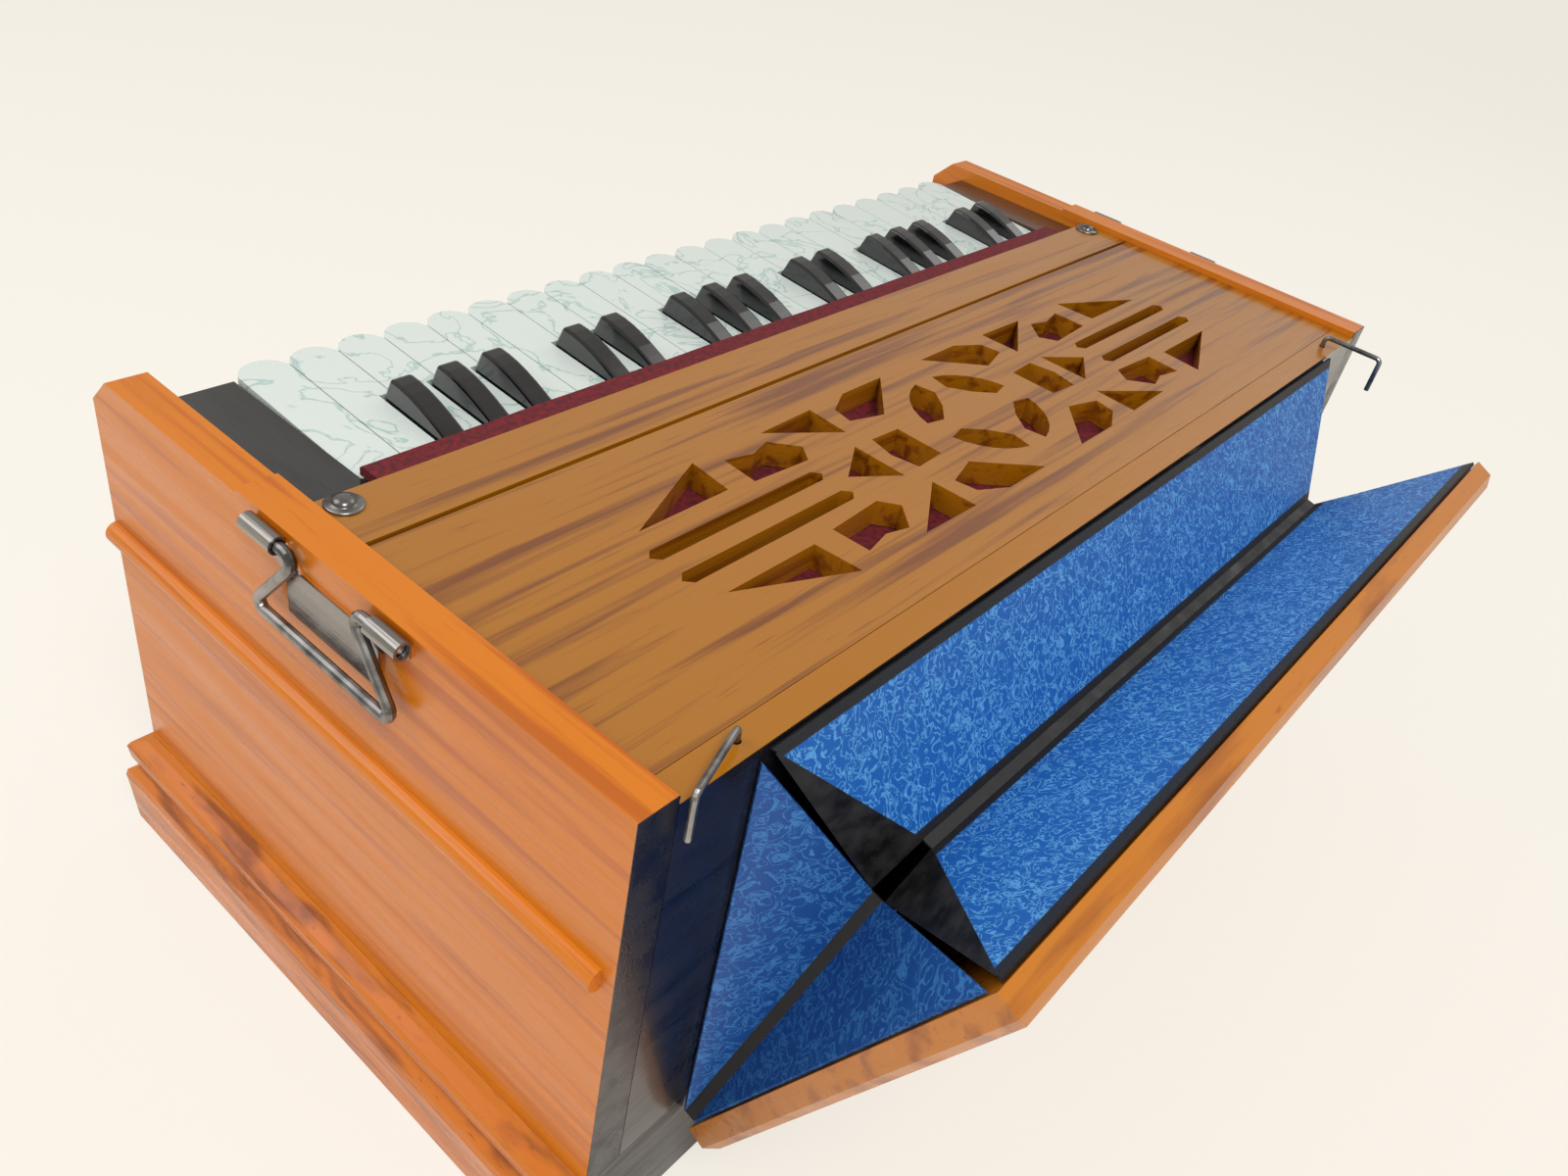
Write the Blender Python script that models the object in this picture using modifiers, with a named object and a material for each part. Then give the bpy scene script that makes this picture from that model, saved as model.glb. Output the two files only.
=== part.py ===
"""A hand-pumped harmonium: wooden case, sprung keys, fretted cover and a folding bellows.

Metres, +Z up, +X treble, -Y the player's side. The origin is the centre of the base's underside.
"""
import bmesh
import bpy
from math import cos, pi, radians, sin, sqrt, tan
from mathutils import Matrix, Vector

# Case
HALF_WIDTH = 0.2865
HALF_DEPTH = 0.1457
CHEEK = 0.016
FIT = 0.0003
BASE_HEIGHT = 0.0545
BASE_FLOOR = 0.012
BASE_WALL = 0.022
CHEEK_TOP = 0.244
CHEEK_FRONT_TOP = 0.2425
CHEEK_STEP_Y = -0.048
CHEEK_CHAMFER = 0.012
BEAD_RADIUS = 0.005
BEAD_Z = 0.170
BEAD_END_GAP = 0.006
COVER_TOP = 0.2407
COVER_THICK = 0.011
REAR_THICK = 0.012
FRONT_THICK = 0.010
FRONT_FACE_Y = -0.143
FRONT_TOP = 0.205
RAIL_FRONT_Y = -0.031
RAIL_REAR_Y = -0.002
RAIL_THICK = 0.0055

# Keys
PITCH = 0.022
WHITE_COUNT = 22
KEY_GAP = 0.0006
BLACK_SLOTS = (2, 3, 4, 6, 7, 9, 10, 11, 13, 14, 16, 17, 18, 20, 21)
BLACK_WIDTH = 0.010
BLACK_CLEAR = 0.0008
BLACK_FRONT_CLEAR = 0.0022
BLACK_FRONT_Y = -0.084
BLACK_RISE = 0.010
KEY_EDGE_Y = -0.1226
SCALLOP = 0.0069
KEY_REAR_Y = -0.044
KEY_TOP_REAR = 0.2328
KEY_TOP_FRONT = 0.2373
LIP_BOTTOM = 0.219
LEVER_TOP = 0.220
LEVER_BOTTOM = 0.208
TAIL_Y = 0.060
PIVOT_Y = -0.015
FULCRUM_WIDTH = 0.008
FULCRUM_GAP = 0.0004
REED_BOTTOM = 0.180
REED_THICK = 0.010
BLOCK_FRONT_Y = -0.124
BLOCK_TOP = 0.235

# Bellows
HINGE_Y = 0.1497
HINGE_Z = 0.045
OPEN = radians(25.5)
HALF_GAP = 0.004
BOARD_THICK = 0.013
BOARD_HALF = 0.237
BOARD_BELOW = 0.005
BOARD_RISE = 0.195
BOARD_CHAMFER = 0.004
NOSE_RADIUS = 0.0036
NOSE_HALF = 0.230
RIB_THICK = 0.0015
RIB_OFFSET = 0.0029
RIB_TOP_Z = 0.239
RIB_WIDTH = 0.062
RIB_HALF = 0.233
RIB_VALLEY_HALF = 0.178
RIB_FOLD = radians(31)
END_X = 0.236
END_TOP_Z = 0.235
END_REACH = 0.0491
END_RIDGE = 0.1253
END_FOLD = radians(35.3)

# Hardware
HOOK_X = 0.240
HOOK_Y = 0.139
HOOK_WIRE = 0.0013
HOOK_CLEAR = 0.0004
HOOK_HEIGHT = 0.2465
HOOK_REACH = 0.031
HOOK_DROP = 0.018
HOOK_PIN_DEPTH = 0.012
HANDLE_Z = 0.240
HANDLE_PROUD = 0.0036
BARREL_RADIUS = 0.0035
BAIL_RADIUS = 0.0022
BAIL_CLEAR = 0.0003
BARRELS = ((-0.035, -0.017), (0.033, 0.049))
BAIL_BENDS = (-0.006, 0.022)
BAIL_FEET = (-0.032, 0.0475)
BAIL_Z = 0.209
BAIL_X = 0.292
BAIL_BEND_RADIUS = 0.0032
PLATE_THICK = 0.0015
KNOB_X = 0.120
KNOB_Z = 0.150
KNOB_RADIUS = 0.009
STEM_RADIUS = 0.004
STEM_CLEAR = 0.0003
STEM_END_Y = -0.100

# Fretwork, one quarter, from the middle of the cover outwards
FRET_Y = 0.0675
FRET_SLOT_X = (0.103, 0.198)
FRET_SLOT_OFFSET = 0.0079
FRET_SLOT_HALF = 0.0033
FRET_LEAF = ((0.190, 0.0215), (0.141, 0.0425), (0.143, 0.0215))
FRET_CLUB = ((0.130, 0.0195), (0.129, 0.0365), (0.115, 0.0335), (0.104, 0.0365), (0.094, 0.0255),
             (0.100, 0.0175))
FRET_TRIANGLE = ((0.101, 0.0425), (0.068, 0.0435), (0.069, 0.0225))
FRET_FAN = ((0.060, 0.0275), (0.058, 0.0375), (0.044, 0.0445), (0.016, 0.0445), (0.042, 0.0225))
FRET_POINT = ((0.096, 0.0), (0.075, -0.013), (0.075, 0.013))
FRET_HEART = ((0.067, 0.0), (0.064, -0.0125), (0.047, -0.0115), (0.047, 0.0115), (0.064, 0.0125))
RING_OUTER = 0.032
RING_INNER = 0.022
RING_CUSP = 0.017

INNER = HALF_WIDTH - CHEEK
SPAN = INNER - FIT
KEYS_HALF = PITCH * WHITE_COUNT / 2
AXIS_INDEX = {"X": 0, "Y": 1, "Z": 2}


def collection(name):
    made = bpy.data.collections.new(name)
    bpy.context.scene.collection.children.link(made)
    return made


def material(name, colour, roughness, metallic=0.0):
    made = bpy.data.materials.new(name)
    made.use_nodes = True
    shader = made.node_tree.nodes["Principled BSDF"]
    shader.inputs["Base Color"].default_value = (*colour, 1)
    shader.inputs["Roughness"].default_value = roughness
    shader.inputs["Metallic"].default_value = metallic
    return made


def add(name, data, look, home=None):
    made = bpy.data.objects.new(name, data)
    (home or PARTS).objects.link(made)
    if look:
        data.materials.append(look)
    return made


def loft(name, rings, look, home=None):
    """Closed solid through rings of the same number of points."""
    shape = bmesh.new()
    rows = [[shape.verts.new(point) for point in ring] for ring in rings]
    count = len(rings[0])
    for low, high in zip(rows, rows[1:]):
        for k in range(count):
            n = (k + 1) % count
            shape.faces.new((low[k], low[n], high[n], high[k]))
    shape.faces.new(list(reversed(rows[0])))
    shape.faces.new(rows[-1])
    bmesh.ops.recalc_face_normals(shape, faces=shape.faces[:])
    data = bpy.data.meshes.new(name)
    shape.to_mesh(data)
    shape.free()
    return add(name, data, look, home)


def prism(name, outline, axis, low, high, look, home=None):
    """Outline in the other two axes, in X, Y, Z order, drawn out along one axis."""
    where = AXIS_INDEX[axis]

    def ring(level):
        points = []
        for pair in outline:
            point = list(pair)
            point.insert(where, level)
            points.append(point)
        return points

    return loft(name, [ring(low), ring(high)], look, home)


def box(name, x, y, z, look, home=None):
    outline = ((x[0], y[0]), (x[1], y[0]), (x[1], y[1]), (x[0], y[1]))
    return prism(name, outline, "Z", z[0], z[1], look, home)


def rod(name, centre, radius, axis, low, high, look, home=None, sides=24):
    outline = [(centre[0] + radius * cos(2 * pi * k / sides), centre[1] + radius * sin(2 * pi * k / sides))
               for k in range(sides)]
    return prism(name, outline, axis, low, high, look, home)


def combine(target, tool, operation):
    tool.hide_render = True
    tool.display_type = "WIRE"
    step = target.modifiers.new(operation.title(), "BOOLEAN")
    step.object = tool
    step.operation = operation
    step.solver = "EXACT"


def turn(piece, pivot, axis, angle):
    move = Matrix.Translation(pivot) @ Matrix.Rotation(angle, 4, axis) @ Matrix.Translation(-Vector(pivot))
    piece.data.transform(move)


def seat(piece, pivot):
    """Put the origin on the joint's axis without moving the shape."""
    piece.data.transform(Matrix.Translation(-Vector(pivot)))
    piece.location = pivot


def rounded(points, radius, steps=5):
    """A path whose inner corners are arcs."""
    points = [Vector(point) for point in points]
    path = [points[0]]
    for before, corner, after in zip(points, points[1:], points[2:]):
        back = (before - corner).normalized()
        ahead = (after - corner).normalized()
        half = back.angle(ahead) / 2
        centre = corner + (back + ahead).normalized() * radius / sin(half)
        start = (corner + back * radius / tan(half) - centre).normalized()
        end = (corner + ahead * radius / tan(half) - centre).normalized()
        path += [centre + start.slerp(end, k / steps) * radius for k in range(steps + 1)]
    return path + [points[-1]]


def wire(name, points, radius, bend, look, sides=12):
    """Round wire swept along a bent path, its section carried on without twist."""
    path = rounded(points, bend)
    last = len(path) - 1
    across = None
    rings = []
    for k, point in enumerate(path):
        tangent = (path[min(k + 1, last)] - path[max(k - 1, 0)]).normalized()
        across = across or tangent.orthogonal()
        across = (across - tangent * across.dot(tangent)).normalized()
        up = tangent.cross(across)
        turns = [2 * pi * n / sides for n in range(sides)]
        rings.append([point + (across * cos(a) + up * sin(a)) * radius for a in turns])
    return loft(name, rings, look)


def base():
    """The plinth: a moulded edge round three sides, flush at the rear, hollow inside."""
    moulding = ((0.0092, 0), (0.0105, 0.022), (0.0110, 0.028), (0.0102, 0.0315), (0.0063, 0.0345),
                (0.0082, 0.040), (0.0090, 0.047), (0.0075, 0.0495), (0.0025, 0.051), (0, BASE_HEIGHT))
    rings = []
    for proud, z in moulding:
        x = HALF_WIDTH + proud
        y = -HALF_DEPTH - proud
        rings.append([(-x, y, z), (x, y, z), (x, HALF_DEPTH, z), (-x, HALF_DEPTH, z)])
    plinth = loft("base_plinth", rings, WOOD)
    x = HALF_WIDTH - BASE_WALL
    y = HALF_DEPTH - BASE_WALL
    hollow = box("wind_chest", (-x, x), (-y, y), (BASE_FLOOR, BASE_HEIGHT * 2), None, CUTTERS)
    combine(plinth, hollow, "DIFFERENCE")


def cheek(name, side):
    low = BASE_HEIGHT + FIT
    outline = ((-HALF_DEPTH, low), (HALF_DEPTH, low), (HALF_DEPTH, CHEEK_TOP), (CHEEK_STEP_Y, CHEEK_TOP),
               (CHEEK_STEP_Y, CHEEK_FRONT_TOP), (-HALF_DEPTH + CHEEK_CHAMFER, CHEEK_FRONT_TOP),
               (-HALF_DEPTH, CHEEK_FRONT_TOP - CHEEK_CHAMFER))
    faces = sorted((side * INNER, side * HALF_WIDTH))
    wall = prism(name, outline, "X", faces[0], faces[1], VARNISH)
    sink = 0.001
    bead = rod(name + "_bead", (side * HALF_WIDTH, BEAD_Z), BEAD_RADIUS, "Y", -HALF_DEPTH + sink,
               HALF_DEPTH - BEAD_END_GAP, None, CUTTERS)
    combine(wall, bead, "UNION")
    skin = sorted((side * (HALF_WIDTH - sink), side * (HALF_WIDTH + PLATE_THICK)))
    (near_low, near_high), (far_low, far_high) = BARRELS
    plate = prism(name + "_plate", ((near_high, 0.212), (far_low, 0.212), (far_low, 0.228), (far_high, 0.236),
                                    (far_high, HANDLE_Z), (far_low, HANDLE_Z), (far_low - 0.008, 0.232),
                                    (near_high + 0.008, 0.232), (near_high, HANDLE_Z), (near_low, HANDLE_Z),
                                    (near_low, 0.236), (near_high, 0.228)), "X", skin[0], skin[1], None, CUTTERS)
    combine(wall, plate, "UNION")
    centre = (side * (HALF_WIDTH + HANDLE_PROUD), HANDLE_Z)
    for k, (start, end) in enumerate(BARRELS):
        combine(wall, rod(f"{name}_barrel_{k}", centre, BARREL_RADIUS, "Y", start, end, None, CUTTERS), "UNION")
    for k, (start, end) in enumerate(BARRELS):
        combine(wall, rod(f"{name}_bore_{k}", centre, BAIL_RADIUS + BAIL_CLEAR, "Y", start - sink, end + sink,
                          None, CUTTERS), "DIFFERENCE")


def bail(name, side):
    x = side * (HALF_WIDTH + HANDLE_PROUD)
    inset = 0.002
    points = ((x, BARRELS[0][0] + inset, HANDLE_Z), (x, BAIL_BENDS[0], HANDLE_Z),
              (side * BAIL_X, BAIL_FEET[0], BAIL_Z), (side * BAIL_X, BAIL_FEET[1], BAIL_Z),
              (x, BAIL_BENDS[1], HANDLE_Z), (x, BARRELS[1][1] - inset, HANDLE_Z))
    seat(wire(name, points, BAIL_RADIUS, BAIL_BEND_RADIUS, STEEL), (x, 0, HANDLE_Z))


def boards():
    low = BASE_HEIGHT + FIT
    rear = box("rear_board", (-SPAN, SPAN), (HALF_DEPTH - REAR_THICK, HALF_DEPTH), (low, COVER_TOP), WOOD)
    for side in (-1, 1):
        bore = rod(f"hook_bore_{side}", (side * HOOK_X, HOOK_Y), HOOK_WIRE + HOOK_CLEAR, "Z",
                   COVER_TOP - HOOK_PIN_DEPTH - HOOK_WIRE, COVER_TOP + HOOK_WIRE, None, CUTTERS)
        combine(rear, bore, "DIFFERENCE")
    front = box("front_board", (-SPAN, SPAN), (FRONT_FACE_Y, FRONT_FACE_Y + FRONT_THICK), (low, FRONT_TOP), WOOD)
    for side in (-1, 1):
        hole = rod(f"stem_hole_{side}", (side * KNOB_X, KNOB_Z), STEM_RADIUS + STEM_CLEAR, "Y",
                   FRONT_FACE_Y - FRONT_THICK, FRONT_FACE_Y + 2 * FRONT_THICK, None, CUTTERS)
        combine(front, hole, "DIFFERENCE")
    box("key_rail", (-SPAN, SPAN), (RAIL_FRONT_Y, RAIL_REAR_Y), (COVER_TOP - RAIL_THICK, COVER_TOP), WOOD)
    reed_top = REED_BOTTOM + REED_THICK
    reed_front = FRONT_FACE_Y + FRONT_THICK + FIT
    reed_rear = HALF_DEPTH - REAR_THICK - FIT
    near = PIVOT_Y - FULCRUM_WIDTH / 2
    far = PIVOT_Y + FULCRUM_WIDTH / 2
    crest = LEVER_BOTTOM - FULCRUM_GAP
    outline = ((reed_front, REED_BOTTOM), (reed_rear, REED_BOTTOM), (reed_rear, reed_top), (far, reed_top),
               (far, crest), (near, crest), (near, reed_top), (reed_front, reed_top))
    prism("reed_board", outline, "X", -SPAN, SPAN, WOOD)
    for name, side in (("key_block_treble", 1), ("key_block_bass", -1)):
        faces = sorted((side * (KEYS_HALF + KEY_GAP), side * SPAN))
        box(name, faces, (BLOCK_FRONT_Y, RAIL_FRONT_Y - FIT), (reed_top + FIT, BLOCK_TOP), DARK_WOOD)


def top_cover():
    """One board, its fretwork sawn right through."""
    data = bpy.data.curves.new("top_cover", "CURVE")
    data.dimensions = "2D"
    data.fill_mode = "BOTH"
    data.extrude = COVER_THICK / 2
    edge = HALF_DEPTH - REAR_THICK - FIT
    shapes = [((-SPAN, FIT), (SPAN, FIT), (SPAN, edge), (-SPAN, edge))]
    start, end = FRET_SLOT_X
    near = FRET_SLOT_OFFSET - FRET_SLOT_HALF
    far = FRET_SLOT_OFFSET + FRET_SLOT_HALF
    tip = FRET_SLOT_HALF
    slot = ((start, FRET_SLOT_OFFSET), (start + tip, far), (end - tip, far), (end, FRET_SLOT_OFFSET),
            (end - tip, near), (start + tip, near))
    ring = [(RING_OUTER * cos(radians(a)), RING_OUTER * sin(radians(a))) for a in range(12, 79, 11)]
    ring += [(RING_INNER * cos(radians(78)), RING_INNER * sin(radians(78))),
             (RING_CUSP * cos(radians(45)), RING_CUSP * sin(radians(45))),
             (RING_INNER * cos(radians(12)), RING_INNER * sin(radians(12)))]
    for side in (-1, 1):
        for shape in (FRET_POINT, FRET_HEART):
            shapes.append([(side * x, FRET_Y + y) for x, y in shape])
        for row in (-1, 1):
            for shape in (FRET_LEAF, FRET_CLUB, FRET_TRIANGLE, FRET_FAN, slot, ring):
                shapes.append([(side * x, FRET_Y + row * y) for x, y in shape])
    for shape in shapes:
        spline = data.splines.new("POLY")
        spline.points.add(len(shape) - 1)
        spline.use_cyclic_u = True
        for place, (x, y) in zip(spline.points, shape):
            place.co = (x, y, 0, 1)
    cover = add("top_cover", data, WOOD)
    cover.location = (0, 0, COVER_TOP - COVER_THICK / 2)


def white_key(number):
    right = KEYS_HALF - number * PITCH - KEY_GAP / 2
    left = right - PITCH + KEY_GAP
    notch_y = BLACK_FRONT_Y - BLACK_FRONT_CLEAR
    inset = BLACK_WIDTH / 2 + BLACK_CLEAR - KEY_GAP / 2
    back = TAIL_Y * 2
    plan = [(right, KEY_EDGE_Y)]
    if number in BLACK_SLOTS:
        plan += [(right, notch_y), (right - inset, notch_y), (right - inset, back)]
    else:
        plan += [(right, back)]
    if number + 1 in BLACK_SLOTS:
        plan += [(left + inset, back), (left + inset, notch_y), (left, notch_y)]
    else:
        plan += [(left, back)]
    plan += [(left, KEY_EDGE_Y)]
    chord = right - left
    radius = (chord ** 2 / 4 + SCALLOP ** 2) / (2 * SCALLOP)
    steps = 8
    for k in range(1, steps):
        x = chord * (k / steps - 0.5)
        plan.append(((left + right) / 2 + x, KEY_EDGE_Y + radius - SCALLOP - sqrt(radius ** 2 - x ** 2)))
    front = KEY_EDGE_Y - SCALLOP * 2
    lip = KEY_EDGE_Y + 0.010
    slope = (KEY_TOP_FRONT - KEY_TOP_REAR) / (KEY_EDGE_Y - KEY_REAR_Y)
    front_top = KEY_TOP_REAR + slope * (front - KEY_REAR_Y)
    profile = ((front, LIP_BOTTOM), (lip, LIP_BOTTOM), (lip, LEVER_BOTTOM), (TAIL_Y, LEVER_BOTTOM),
               (TAIL_Y, LEVER_TOP), (KEY_REAR_Y, LEVER_TOP), (KEY_REAR_Y, KEY_TOP_REAR), (front, front_top))
    margin = KEY_GAP
    name = f"white_key_{number + 1:02d}"
    key = prism(name, profile, "X", left - margin, right + margin, IVORY)
    combine(key, prism(name + "_plan", plan, "Z", 0, 1, None, CUTTERS), "INTERSECT")
    seat(key, (0, PIVOT_Y, LEVER_BOTTOM))


def black_key(number, slot):
    middle = KEYS_HALF - slot * PITCH
    half = BLACK_WIDTH / 2
    level = KEY_TOP_REAR + BLACK_RISE / 4
    crown = [(KEY_REAR_Y, level)]
    steps = 6
    length = KEY_REAR_Y - BLACK_FRONT_Y - 0.004
    for k in range(1, steps + 1):
        part = k / steps
        crown.append((KEY_REAR_Y - length * part, level + BLACK_RISE * sin(part * pi / 2)))
    profile = [(BLACK_FRONT_Y, LEVER_BOTTOM), (TAIL_Y, LEVER_BOTTOM), (TAIL_Y, LEVER_TOP),
               (KEY_REAR_Y, LEVER_TOP)] + crown + [(BLACK_FRONT_Y, LEVER_TOP + 0.016)]
    key = prism(f"black_key_{number:02d}", profile, "X", middle - half, middle + half, EBONY)
    soften = key.modifiers.new("Soften", "BEVEL")
    soften.width = 0.0012
    soften.segments = 2
    soften.limit_method = "ANGLE"
    soften.angle_limit = radians(60)
    seat(key, (0, PIVOT_Y, LEVER_BOTTOM))


def bellows():
    """Built closed, then each plate is folded out and the board is swung open."""
    hinge = (0, HINGE_Y, HINGE_Z)
    top = HINGE_Z + BOARD_RISE
    bottom = HINGE_Z - BOARD_BELOW
    inner = HINGE_Y + HALF_GAP
    outer = inner + BOARD_THICK
    rings = []
    for y, trim in ((inner, 0), (outer - BOARD_CHAMFER, 0), (outer, BOARD_CHAMFER)):
        x = BOARD_HALF - trim
        rings.append([(-x, y, bottom + trim), (x, y, bottom + trim), (x, y, top - trim), (-x, y, top - trim)])
    board = loft("bellows_board", rings, WOOD)
    nose = rod("hinge_nose", (HINGE_Y, HINGE_Z), NOSE_RADIUS, "X", -NOSE_HALF, NOSE_HALF, None, CUTTERS)
    web = box("hinge_web", (-NOSE_HALF, NOSE_HALF), (HINGE_Y, inner + BOARD_CHAMFER),
              (HINGE_Z - NOSE_RADIUS / 2, HINGE_Z + NOSE_RADIUS / 2), None, CUTTERS)
    for piece in (board, nose, web):
        turn(piece, hinge, "X", -OPEN)
    combine(board, web, "UNION")
    combine(board, nose, "UNION")
    seat(board, hinge)
    swing = Matrix.Translation(hinge) @ Matrix.Rotation(-OPEN, 4, "X") @ Matrix.Translation(-Vector(hinge))
    top_outline = ((-RIB_HALF, RIB_TOP_Z), (RIB_HALF, RIB_TOP_Z), (RIB_VALLEY_HALF, RIB_TOP_Z - RIB_WIDTH),
                   (-RIB_VALLEY_HALF, RIB_TOP_Z - RIB_WIDTH))
    for holder, way in (("case", -1), ("board", 1)):
        y = HINGE_Y + way * RIB_OFFSET
        low = y - RIB_THICK / 2
        high = y + RIB_THICK / 2
        rib = prism(f"rib_top_{holder}", top_outline, "Y", low, high, CLOTH)
        pivots = [(rib, Vector((0, y, RIB_TOP_Z)))]
        turn(rib, pivots[0][1], "X", -way * RIB_FOLD)
        for end, side in (("treble", 1), ("bass", -1)):
            outline = ((side * END_X, HINGE_Z + 0.001), (side * END_X, END_TOP_Z),
                       (side * (END_X - END_REACH), HINGE_Z + END_RIDGE))
            plate = prism(f"rib_end_{holder}_{end}", outline, "Y", low, high, CLOTH)
            corner = Vector((side * END_X, y, HINGE_Z))
            turn(plate, corner, "Z", side * way * END_FOLD)
            pivots.append((plate, corner))
        for piece, pivot in pivots:
            if holder == "board":
                piece.data.transform(swing)
                pivot = swing @ pivot
            seat(piece, pivot)


def hook(name, side, swing):
    x = side * HOOK_X
    reach_x = x + HOOK_REACH * sin(swing)
    reach_y = HOOK_Y + HOOK_REACH * cos(swing)
    points = ((x, HOOK_Y, COVER_TOP - HOOK_PIN_DEPTH), (x, HOOK_Y, HOOK_HEIGHT),
              (reach_x, reach_y, HOOK_HEIGHT), (reach_x, reach_y, HOOK_HEIGHT - HOOK_DROP))
    seat(wire(name, points, HOOK_WIRE, HOOK_WIRE * 2, STEEL), (x, HOOK_Y, HOOK_HEIGHT))


def knob(name, side):
    """Turned knob and its stem, one piece, on an axis along Y."""
    face = FRONT_FACE_Y - FIT
    profile = ((STEM_END_Y, STEM_RADIUS), (face, STEM_RADIUS), (face, KNOB_RADIUS * 0.6),
               (face - 0.004, KNOB_RADIUS * 0.5), (face - 0.008, KNOB_RADIUS * 0.95), (face - 0.012, KNOB_RADIUS),
               (face - 0.016, KNOB_RADIUS * 0.7))
    sides = 24
    rings = []
    for y, radius in profile:
        rings.append([(side * KNOB_X + radius * cos(2 * pi * k / sides), y, KNOB_Z + radius * sin(2 * pi * k / sides))
                      for k in range(sides)])
    seat(loft(name, rings, IVORY), (side * KNOB_X, FRONT_FACE_Y, KNOB_Z))


for leftover in list(bpy.data.objects):
    bpy.data.objects.remove(leftover)
PARTS = collection("harmonium")
CUTTERS = collection("cutters")
WOOD = material("amber_wood", (0.45, 0.16, 0.02), 0.3)
VARNISH = material("orange_varnish", (0.70, 0.20, 0.03), 0.3)
DARK_WOOD = material("dark_wood", (0.02, 0.015, 0.012), 0.2)
IVORY = material("white_celluloid", (0.78, 0.82, 0.78), 0.25)
EBONY = material("black_gloss", (0.01, 0.01, 0.012), 0.15)
CLOTH = material("blue_cloth", (0.02, 0.12, 0.45), 0.8)
STEEL = material("steel", (0.5, 0.5, 0.52), 0.3, 1.0)

base()
cheek("cheek_treble", 1)
cheek("cheek_bass", -1)
boards()
top_cover()
for index in range(WHITE_COUNT):
    white_key(index)
for index, place in enumerate(BLACK_SLOTS):
    black_key(index + 1, place)
bellows()
hook("hook_treble", 1, radians(70))
hook("hook_bass", -1, 0)
bail("handle_treble", 1)
bail("handle_bass", -1)
knob("stop_knob_treble", 1)
knob("stop_knob_bass", -1)
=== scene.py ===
"""Looks for the harmonium: varnished wood, veined keys, papered bellows and studio light.

Bodies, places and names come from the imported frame. Lengths are in metres.
"""
from math import cos, radians, sin

import bmesh
import bpy
import numpy as np
from mathutils import Euler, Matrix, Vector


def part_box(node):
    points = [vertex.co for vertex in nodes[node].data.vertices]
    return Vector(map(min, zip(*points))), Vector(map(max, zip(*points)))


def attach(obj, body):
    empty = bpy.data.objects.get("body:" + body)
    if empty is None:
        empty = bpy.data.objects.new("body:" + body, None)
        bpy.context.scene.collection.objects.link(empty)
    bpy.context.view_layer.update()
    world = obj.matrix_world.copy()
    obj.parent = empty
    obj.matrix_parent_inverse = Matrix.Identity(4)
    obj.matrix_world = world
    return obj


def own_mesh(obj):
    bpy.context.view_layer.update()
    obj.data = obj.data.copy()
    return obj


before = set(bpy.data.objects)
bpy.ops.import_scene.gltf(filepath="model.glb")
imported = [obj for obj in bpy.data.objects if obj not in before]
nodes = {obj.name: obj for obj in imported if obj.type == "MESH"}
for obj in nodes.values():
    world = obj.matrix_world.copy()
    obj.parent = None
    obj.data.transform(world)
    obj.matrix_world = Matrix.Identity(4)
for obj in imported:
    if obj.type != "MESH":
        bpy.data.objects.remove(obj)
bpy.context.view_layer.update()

MM = 0.001
CLEAR = 0.3 * MM

# Felt strip behind the keys, against the key rail
STRIP_HALF = 242 * MM
STRIP_STEPS = 60
FELT_REACH = 12 * MM
FELT_SINK = 2 * MM
FELT_RISE = 4 * MM
FELT_BEVEL = 1 * MM

# Felt-faced backing below the cover's cut-outs
BACKING_HALF = 212 * MM
BACKING_STEPS = 40
BACKING_FRONT = 16 * MM
BACKING_REAR = 119 * MM
BACKING_THICK = 1.2 * MM

# Unevenness of cut felt along X: its height, and its two rates in radians a metre
WAVER_HEIGHT = 0.15 * MM
WAVER_RATES = (90, 37)

# Rail screws: cup washer and domed head in one profile of (radius, height)
SCREW_X = 261 * MM
SCREW_Y = -24 * MM
SCREW_SIDES = 40
SCREW_PROFILE = MM * np.array(((7, 0), (7, 0.7), (6.2, 1.2), (4.2, 1.0),
                               (4.0, 1.6), (3.4, 2.5), (2.2, 3.1), (0.6, 3.3)))

# Bellows: vertices this near a plate's end belong to its edge
EDGE_BAND = 3 * MM
INNER_BAND = 2 * MM
BOARD_LEAN = radians(25.5)
GUSSET_HALF_THICK = 0.4 * MM
GUSSET_FROM = 0.03
GUSSET_STEPS = 8
TAPE_HALF_THICK = 0.4 * MM
TAPE_STEPS = 24
TAPE_WIDTH = 4 * MM
TAPE_BLUR = 0.5 * MM

# Where one solid changes colour: the handle plate on a cheek, the amber cap and the black rear
METAL_FROM_X = 287 * MM
METAL_FROM_Z = 205 * MM
CAP_FROM_Z = 240.4 * MM
REAR_FROM_Y = 145.4 * MM

# Gloss and relief
COAT_ROUGHNESS = 0.12
VARNISH_ROUGHNESS = 0.3
GLOSSIEST = 0.16
DULLEST = 0.42
BUMP_STRENGTH = 0.5
TIMBER_RELIEF = 0.3 * MM
FINE_RELIEF = 0.2 * MM

# Camera from the fit to the photo, in millimetres, metres and degrees
LENS = 28.86
SENSOR_WIDTH = 36
CLIP_START = 0.01
CAMERA_PLACE = (0.4610, 0.2911, 0.4969)
CAMERA_TURN = (52.93, -9.63, 130.79)

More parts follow.
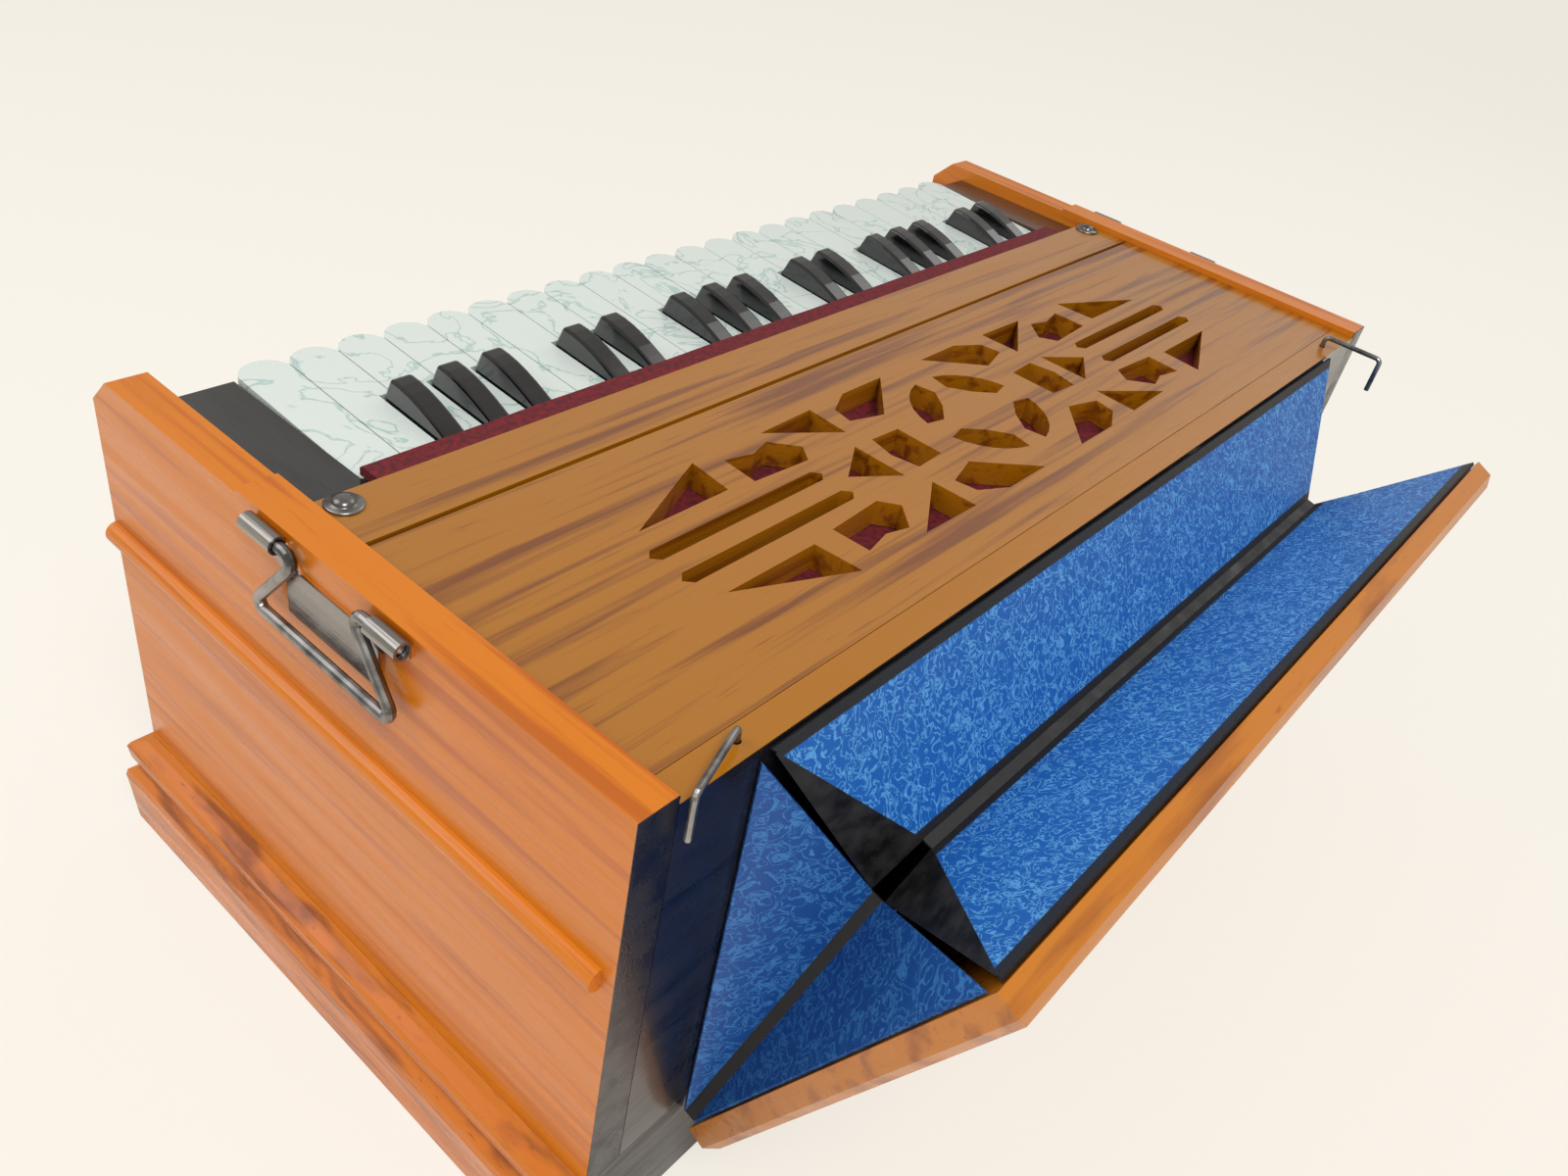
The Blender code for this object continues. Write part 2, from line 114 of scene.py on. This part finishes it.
# Area lamps aimed at the origin: name, place, side in metres and power in watts
LAMPS = (("key_light", (0.7, 0.9, 1.7), 0.6, 17),
         ("front_light", (0.9, -0.9, 1.2), 1.0, 6),
         ("bass_light", (-1.5, 0.2, 1.4), 1.0, 4))
WORLD_STRENGTH = 0.55
FLOOR_REACH = 6.0
FLOOR_ROUGHNESS = 0.9
FLOOR_GLOW = 0.75

SIDES = (("treble", 1), ("bass", -1))


def linear(red, green, blue):
    """A screen colour, 0 to 255, as the linear light that sockets take."""
    value = np.array((red, green, blue)) / 255
    low = value / 12.92
    high = ((value + 0.055) / 1.055) ** 2.4
    return (*np.where(value <= 0.04045, low, high).tolist(), 1.0)


# Nodes

def feed(tree, value, socket):
    """Link another node's socket, or write a plain value."""
    if isinstance(value, bpy.types.NodeSocket):
        tree.links.new(value, socket)
    else:
        socket.default_value = value


def calculated(tree, operation, first, second=None, clamp=False):
    """Math node on sockets or numbers."""
    made = tree.nodes.new("ShaderNodeMath")
    made.operation = operation
    made.use_clamp = clamp
    feed(tree, first, made.inputs[0])
    if second is not None:
        feed(tree, second, made.inputs[1])
    return made.outputs[0]


def noise(tree, vector, scale, detail, distortion=0.0):
    made = tree.nodes.new("ShaderNodeTexNoise")
    made.inputs["Detail"].default_value = detail
    made.inputs["Distortion"].default_value = distortion
    feed(tree, scale, made.inputs["Scale"])
    tree.links.new(vector, made.inputs["Vector"])
    return made.outputs["Fac"]


def spread(tree, value, low, high, to_low=0.0, to_high=1.0):
    """Stretch low to high over to_low to to_high, and hold the ends."""
    made = tree.nodes.new("ShaderNodeMapRange")
    ends = (("From Min", low), ("From Max", high), ("To Min", to_low), ("To Max", to_high))
    for label, number in ends:
        made.inputs[label].default_value = number
    tree.links.new(value, made.inputs["Value"])
    return made.outputs["Result"]


def blended(tree, factor, first, second):
    """Colour mix. The node names its sockets alike for each type, so they are found by number."""
    made = tree.nodes.new("ShaderNodeMix")
    made.data_type = "RGBA"
    tree.links.new(factor, made.inputs[0])
    feed(tree, first, made.inputs[6])
    feed(tree, second, made.inputs[7])
    return made.outputs[2]


def bump(tree, shader, height, depth):
    made = tree.nodes.new("ShaderNodeBump")
    made.inputs["Strength"].default_value = BUMP_STRENGTH
    made.inputs["Distance"].default_value = depth
    tree.links.new(height, made.inputs["Height"])
    tree.links.new(made.outputs["Normal"], shader.inputs["Normal"])


def beyond(tree, place, axis, limit):
    """1 past a limit on one axis, else 0. X counts from the middle, so both ends match."""
    parts = tree.nodes.new("ShaderNodeSeparateXYZ")
    tree.links.new(place, parts.inputs["Vector"])
    value = parts.outputs[axis]
    if axis == "X":
        value = calculated(tree, "ABSOLUTE", value)
    return calculated(tree, "GREATER_THAN", value, limit)


# Shared effects

VECTOR, COLOUR, NUMBER = "NodeSocketVector", "NodeSocketColor", "NodeSocketFloat"


def effect(name, inputs, outputs):
    """An empty node group with named sockets."""
    group = bpy.data.node_groups.new(name, "ShaderNodeTree")
    for sockets, way in ((inputs, "INPUT"), (outputs, "OUTPUT")):
        for label, kind in sockets:
            group.interface.new_socket(label, in_out=way, socket_type=kind)
    given = group.nodes.new("NodeGroupInput").outputs
    return group, given, group.nodes.new("NodeGroupOutput").inputs


def make_grain():
    """Varnished timber: long streaks, finer pores and gloss that varies with handling."""
    tree, given, out = effect(
        "timber_grain",
        inputs=(("Position", VECTOR), ("Light", COLOUR), ("Dark", COLOUR)),
        outputs=(("Colour", COLOUR), ("Roughness", NUMBER), ("Height", NUMBER)))
    place = given["Position"]
    streak = noise(tree, place, scale=7, detail=3, distortion=0.3)
    pore = noise(tree, place, scale=40, detail=4)
    handling = noise(tree, place, scale=4, detail=6)
    streaked = blended(tree, spread(tree, streak, 0.34, 0.50), given["Dark"], given["Light"])
    flecked = blended(tree, spread(tree, pore, 0.24, 0.36), given["Dark"], streaked)
    tree.links.new(flecked, out["Colour"])
    tree.links.new(spread(tree, handling, 0.35, 0.65, GLOSSIEST, DULLEST), out["Roughness"])
    tree.links.new(pore, out["Height"])
    return tree


def make_veins():
    """Thin worm-like lines where a distorted noise passes its middle value."""
    tree, given, out = effect(
        "veins",
        inputs=(("Position", VECTOR), ("Ground", COLOUR), ("Vein", COLOUR), ("Scale", NUMBER),
                ("Line", NUMBER)),
        outputs=(("Colour", COLOUR), ("Height", NUMBER)))
    cloud = noise(tree, given["Position"], scale=given["Scale"], detail=5, distortion=1.4)
    from_middle = calculated(tree, "ABSOLUTE", calculated(tree, "SUBTRACT", cloud, 0.5))
    line = calculated(tree, "DIVIDE", from_middle, given["Line"], clamp=True)
    tree.links.new(blended(tree, line, given["Vein"], given["Ground"]), out["Colour"])
    tree.links.new(line, out["Height"])
    return tree


GRAIN = make_grain()
VEINS = make_veins()


def applied(tree, group, place, **values):
    """The outputs of a shared effect, with its values written."""
    made = tree.nodes.new("ShaderNodeGroup")
    made.node_tree = group
    tree.links.new(place, made.inputs["Position"])
    for label, value in values.items():
        made.inputs[label].default_value = value
    return made.outputs


# Materials

def principled(name, roughness, coat=0.0, metallic=0.0, stretch=(1, 1, 1)):
    """A material, its tree and shader, and object coordinates stretched on each axis."""
    made = bpy.data.materials.new(name)
    made.use_nodes = True
    tree = made.node_tree
    shader = tree.nodes["Principled BSDF"]
    shader.inputs["Roughness"].default_value = roughness
    shader.inputs["Coat Weight"].default_value = coat
    shader.inputs["Coat Roughness"].default_value = COAT_ROUGHNESS
    shader.inputs["Metallic"].default_value = metallic
    mapped = tree.nodes.new("ShaderNodeMapping")
    mapped.inputs["Scale"].default_value = stretch
    place = tree.nodes.new("ShaderNodeTexCoord").outputs["Object"]
    tree.links.new(place, mapped.inputs["Vector"])
    return made, tree, shader, mapped.outputs["Vector"]


def timber(name, light, dark, stretch, coat=0.35, regions=(), plated=False):
    """Grained wood, painted past each (axis, limit, colour) region; plated adds the steel plate."""
    made, tree, shader, place = principled(name, VARNISH_ROUGHNESS, coat, stretch=stretch)
    grain = applied(tree, GRAIN, place, Light=light, Dark=dark)
    colour = grain["Colour"]
    spot = tree.nodes.new("ShaderNodeTexCoord").outputs["Object"]
    for axis, limit, paint in regions:
        colour = blended(tree, beyond(tree, spot, axis, limit), colour, paint)
    if plated:
        plate = calculated(tree, "MULTIPLY", beyond(tree, spot, "X", METAL_FROM_X),
                           beyond(tree, spot, "Z", METAL_FROM_Z))
        colour = blended(tree, plate, colour, PLATE_STEEL)
        tree.links.new(plate, shader.inputs["Metallic"])
    tree.links.new(colour, shader.inputs["Base Color"])
    tree.links.new(grain["Roughness"], shader.inputs["Roughness"])
    bump(tree, shader, grain["Height"], TIMBER_RELIEF)
    return made


def veined(name, ground, vein, scale, roughness, coat, line=0.05, taped=None):
    """Veined sheet; taped is a run (point, direction, length) with black tape at both ends."""
    made, tree, shader, place = principled(name, roughness, coat)
    veins = applied(tree, VEINS, place, Ground=ground, Vein=vein, Scale=scale, Line=line)
    colour = veins["Colour"]
    if taped:
        point, direction, length = taped
        along = tree.nodes.new("ShaderNodeVectorMath")
        along.operation = "DOT_PRODUCT"
        along.inputs[1].default_value = direction
        tree.links.new(place, along.inputs[0])
        start = float(np.dot(point, direction))
        near = start + TAPE_WIDTH
        far = start + length - TAPE_WIDTH
        past_near = spread(tree, along.outputs["Value"], near, near + TAPE_BLUR)
        past_far = spread(tree, along.outputs["Value"], far, far + TAPE_BLUR)
        colour = blended(tree, past_far, colour, TAPE_BLACK)
        colour = blended(tree, past_near, TAPE_BLACK, colour)
    tree.links.new(colour, shader.inputs["Base Color"])
    bump(tree, shader, veins["Height"], FINE_RELIEF)
    return made


def worn(name, light, dark, scale, roughness, metallic=0.0, coat=0.0):
    """Plain stuff with cloudy wear in colour and gloss."""
    made, tree, shader, place = principled(name, roughness, coat, metallic)
    cloud = noise(tree, place, scale, detail=7)
    colour = blended(tree, spread(tree, cloud, 0.35, 0.65), dark, light)
    gloss = spread(tree, cloud, 0.3, 0.7, roughness * 0.7, min(1.0, roughness * 1.4))
    tree.links.new(colour, shader.inputs["Base Color"])
    tree.links.new(gloss, shader.inputs["Roughness"])
    bump(tree, shader, cloud, FINE_RELIEF)
    return made


AMBER = linear(166, 104, 6)
BLACK_STAIN = linear(22, 20, 24)
PLATE_STEEL = linear(150, 146, 142)
TAPE_BLACK = linear(24, 24, 27)
PAPER_BLUE = linear(8, 92, 176)
PAPER_LINE = linear(96, 172, 232)
STUDIO_PAPER = linear(250, 245, 236)
STUDIO_LIGHT = linear(250, 246, 238)

black_rear = (("Y", REAR_FROM_Y, BLACK_STAIN),)
varnish_top = timber("varnish_top", light=AMBER, dark=linear(120, 62, 4),
                     stretch=(0.8, 24, 24), coat=0.7)
varnish_board = timber("varnish_board", light=linear(196, 116, 10), dark=linear(154, 80, 6),
                       stretch=(1.2, 12, 12))
varnish_cheek = timber("varnish_cheek", light=linear(210, 118, 8), dark=linear(184, 92, 4),
                       stretch=(26, 0.9, 26), coat=0.15, regions=black_rear, plated=True)
varnish_base = timber("varnish_base", light=linear(204, 112, 8), dark=linear(146, 70, 4),
                      stretch=(3, 3, 26), coat=0.15, regions=black_rear)
stain_black = timber("stain_black", light=linear(30, 28, 34), dark=linear(12, 11, 13),
                     stretch=(2, 12, 12), coat=0.5, regions=(("Z", CAP_FROM_Z, AMBER),))
block_treble = timber("block_treble", light=linear(30, 28, 30), dark=linear(8, 8, 9),
                      stretch=(12, 2, 12), coat=0.8)
block_bass = timber("block_bass", light=linear(74, 42, 24), dark=linear(28, 16, 10),
                    stretch=(12, 2, 12), coat=0.5)
celluloid = veined("celluloid", ground=linear(214, 224, 220), vein=linear(168, 196, 192),
                   scale=26, roughness=0.22, coat=0.4, line=0.018)
side_paper = veined("paper_ends", ground=linear(12, 78, 156), vein=linear(64, 136, 206),
                    scale=160, roughness=0.55, coat=0.1)
ebony = worn("ebony", light=linear(20, 20, 22), dark=linear(6, 6, 8),
             scale=50, roughness=0.14, coat=0.6)
felt = worn("maroon_felt", light=linear(122, 22, 34), dark=linear(72, 10, 20),
            scale=400, roughness=0.95)
steel = worn("steel", light=linear(168, 166, 164), dark=linear(92, 90, 90),
             scale=90, roughness=0.3, metallic=1.0)
leather = worn("gusset_leather", light=linear(40, 38, 38), dark=linear(14, 13, 14),
               scale=120, roughness=0.55)


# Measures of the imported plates

def corners(name):
    """The plate's vertices, both sides."""
    data = nodes[name].data
    flat = np.empty(len(data.vertices) * 3)
    data.vertices.foreach_get("co", flat)
    return flat.reshape(-1, 3)


def upper(points):
    return points[points[:, 2] > points[:, 2].max() - EDGE_BAND]


def lower(points):
    return points[points[:, 2] < points[:, 2].min() + EDGE_BAND]


def run_down(name):
    """Middle of a top rib's upper edge, and the way and distance down to its lower edge."""
    points = corners(name)
    high = upper(points).mean(axis=0)
    run = (lower(points).mean(axis=0) - high) * (0, 1, 1)
    length = float(np.linalg.norm(run))
    return high, tuple((run / length).tolist()), length


def low_edge(name):
    """Both ends of a top rib's lower edge."""
    points = lower(corners(name))
    left = points[points[:, 0] < 0].mean(axis=0)
    right = points[points[:, 0] > 0].mean(axis=0)
    return left, right


def inner_edge(name, side):
    """An end rib's edge beside its neighbour: its foot, and its end nearest the middle."""
    points = corners(name)
    inward = points[:, 0] * side
    inner = points[inward < inward.min() + INNER_BAND]
    return lower(points).mean(axis=0), inner.mean(axis=0)


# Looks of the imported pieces

def dress(name, look):
    for place in nodes[name].material_slots:
        place.material = look


LOOKS = {
    "top_cover": varnish_top,
    "key_rail": varnish_top,
    "reed_board": varnish_board,
    "front_board": varnish_board,
    "bellows_board": varnish_board,
    "base_plinth": varnish_base,
    "cheek_": varnish_cheek,
    "rear_board": stain_black,
    "key_block_treble": block_treble,
    "key_block_bass": block_bass,
    "white_key_": celluloid,
    "black_key_": ebony,
    "stop_knob_": celluloid,
    "hook_": steel,
    "handle_": steel,
    "rib_end_": side_paper,
}
for start, look in LOOKS.items():
    for name in nodes:
        if name.startswith(start):
            dress(name, look)
for name in ("rib_top_case", "rib_top_board"):
    dress(name, veined("paper_" + name, PAPER_BLUE, PAPER_LINE, scale=210, roughness=0.5,
                       coat=0.1, taped=run_down(name)))


# Shapes

def surface(name, grid, body, look, smooth=True):
    """Closed shell from a grid of rings: sides join ring to ring and a flat face ends each one."""
    rings, around = grid.shape[:2]
    index = np.arange(rings * around).reshape(rings, around)
    after = np.roll(index, -1, axis=1)
    quads = np.stack((index[:-1], after[:-1], after[1:], index[1:]), axis=-1).reshape(-1, 4)
    faces = quads.tolist() + [index[0, ::-1].tolist(), index[-1].tolist()]
    data = bpy.data.meshes.new(name)
    data.from_pydata(grid.reshape(-1, 3).tolist(), [], faces)
    data.materials.append(look)
    made = bpy.data.objects.new(name, data)
    bpy.context.scene.collection.objects.link(made)
    if smooth:
        data.polygons.foreach_set("use_smooth", np.arange(len(faces)) < len(quads))
    outward(data)
    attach(made, body)
    return made


def outward(data):
    """Turn every face of a closed shell outwards."""
    shape = bmesh.new()
    shape.from_mesh(data)
    bmesh.ops.recalc_face_normals(shape, faces=shape.faces[:])
    shape.to_mesh(data)
    shape.free()


def turned(centre, profile):
    """Lathe: each (radius, height) of the profile swept round Z."""
    angle = np.linspace(0, 2 * np.pi, SCREW_SIDES, endpoint=False)
    radius, height = profile.T
    x = centre[0] + radius[:, None] * np.cos(angle)
    y = centre[1] + radius[:, None] * np.sin(angle)
    z = centre[2] + height[:, None] + 0 * angle
    return np.stack((x, y, z), axis=-1)


def drawn(section, half, steps):
    """Section in Y and Z carried along X, with a faint waver in its height."""
    x = np.linspace(-half, half, steps)
    y, z = np.array(section).T
    waver = WAVER_HEIGHT * np.sin(x * WAVER_RATES[0]) * np.cos(x * WAVER_RATES[1])
    top = (z - z.min()) / (z.max() - z.min())
    return np.stack((x[:, None] + 0 * y, y + 0 * x[:, None], z + waver[:, None] * top), axis=-1)


def slab(near, far, normal, along, half_thick):
    """Rings of a thin slab between two straight edges, each a pair of end points."""
    left = near[0] + along * (near[1] - near[0])
    right = far[0] + along * (far[1] - far[0])
    across = normal * (half_thick / np.linalg.norm(normal))
    return np.stack((left - across, right - across, right + across, left + across), axis=1)


# Felt and screws

rail_low, rail_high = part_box("key_rail")
_, key_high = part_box("white_key_01")
felt_front = rail_low[1] - FELT_REACH
felt_back = rail_low[1] - CLEAR
felt_base = key_high[2] - FELT_SINK
felt_top = felt_base + FELT_RISE
strip = [(felt_front, felt_base), (felt_back, felt_base), (felt_back, felt_top),
         (felt_front + FELT_BEVEL, felt_top), (felt_front, felt_top - FELT_BEVEL)]
surface("felt_strip", drawn(strip, STRIP_HALF, STRIP_STEPS), "case", felt, smooth=False)

cover_low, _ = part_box("top_cover")
backing_top = cover_low[2] - CLEAR
backing_base = backing_top - BACKING_THICK
backing = [(BACKING_FRONT, backing_base), (BACKING_REAR, backing_base),
           (BACKING_REAR, backing_top), (BACKING_FRONT, backing_top)]
surface("grille_backing", drawn(backing, BACKING_HALF, BACKING_STEPS), "case", felt,
        smooth=False)

for label, side in SIDES:
    screw = turned((side * SCREW_X, SCREW_Y, rail_high[2]), SCREW_PROFILE)
    surface("rail_screw_" + label, screw, "case", steel)

# Leather gussets close each top corner between a top rib's end and an end rib's upper edge

for holder, carrier, outward_of in (
        ("case", "case", (0, 1, 0)),
        ("board", "bellows_board", (0, cos(BOARD_LEAN), -sin(BOARD_LEAN)))):
    for label, side in SIDES:
        top = corners("rib_top_" + holder)
        end = corners(f"rib_end_{holder}_{label}")
        high, low = upper(top), lower(top)
        apex = high[np.argmax(high[:, 0] * side)]
        valley = low[np.argmax(low[:, 0] * side)]
        ridge = end[np.argmin(end[:, 0] * side)]
        along = np.linspace(GUSSET_FROM, 1, GUSSET_STEPS)[:, None]
        normal = np.cross(valley - apex, ridge - apex)
        rings = slab((apex, valley), (apex, ridge), normal, along, GUSSET_HALF_THICK)
        gusset = surface(f"gusset_{holder}_{label}", rings, carrier, leather, smooth=False)
        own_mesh(gusset)


# Cloth tape bridges each valley, from the case rib's edge to the board rib's edge

def bridge(name, first, second, body):
    along = np.linspace(0, 1, TAPE_STEPS)[:, None]
    normal = np.cross(first[1] - first[0], second[0] - first[0])
    rings = slab(first, second, normal, along, TAPE_HALF_THICK)
    surface(name, rings, body, leather, smooth=False)


bridge("valley_tape", low_edge("rib_top_case"), low_edge("rib_top_board"), "rib_top_case")
for label, side in SIDES:
    case_edge = inner_edge("rib_end_case_" + label, side)
    board_edge = inner_edge("rib_end_board_" + label, side)
    bridge("end_tape_" + label, case_edge, board_edge, "rib_end_case_" + label)


# Floor, light and camera

def floor_paper():
    """Paper that camera rays see mostly by its own glow, so that it stays even."""
    made = bpy.data.materials.new("floor")
    made.use_nodes = True
    tree = made.node_tree
    shader = tree.nodes["Principled BSDF"]
    shader.inputs["Base Color"].default_value = STUDIO_PAPER
    shader.inputs["Roughness"].default_value = FLOOR_ROUGHNESS
    glow = tree.nodes.new("ShaderNodeEmission")
    glow.inputs["Color"].default_value = STUDIO_PAPER
    ray = tree.nodes.new("ShaderNodeLightPath")
    share = calculated(tree, "MULTIPLY", ray.outputs["Is Camera Ray"], FLOOR_GLOW)
    joined = tree.nodes.new("ShaderNodeMixShader")
    for source, socket in zip((share, shader.outputs[0], glow.outputs[0]), joined.inputs):
        tree.links.new(source, socket)
    tree.links.new(joined.outputs[0], tree.nodes["Material Output"].inputs["Surface"])
    return made


def lamp(name, place, size, power):
    data = bpy.data.lights.new(name, "AREA")
    data.size = size
    data.energy = power
    made = bpy.data.objects.new(name, data)
    made.location = place
    made.rotation_euler = (-made.location).to_track_quat("-Z", "Y").to_euler()
    bpy.context.scene.collection.objects.link(made)


floor_data = bpy.data.meshes.new("floor")
floor_corners = [(x * FLOOR_REACH, y * FLOOR_REACH, 0)
                 for x, y in ((-1, -1), (1, -1), (1, 1), (-1, 1))]
floor_data.from_pydata(floor_corners, [], [(0, 1, 2, 3)])
floor_data.materials.append(floor_paper())
floor = bpy.data.objects.new("floor", floor_data)
bpy.context.scene.collection.objects.link(floor)

for name, place, size, power in LAMPS:
    lamp(name, place, size, power)
world = bpy.data.worlds.new("studio")
bpy.context.scene.world = world
world.use_nodes = True
background = world.node_tree.nodes["Background"]
background.inputs["Color"].default_value = STUDIO_LIGHT
background.inputs["Strength"].default_value = WORLD_STRENGTH

camera = bpy.data.objects.new("camera", bpy.data.cameras.new("camera"))
camera.data.sensor_width = SENSOR_WIDTH
camera.data.lens = LENS
camera.data.clip_start = CLIP_START
camera.location = CAMERA_PLACE
camera.rotation_euler = Euler([radians(angle) for angle in CAMERA_TURN], "XYZ")
bpy.context.scene.collection.objects.link(camera)
bpy.context.scene.camera = camera
bpy.context.scene.view_settings.view_transform = "Standard"
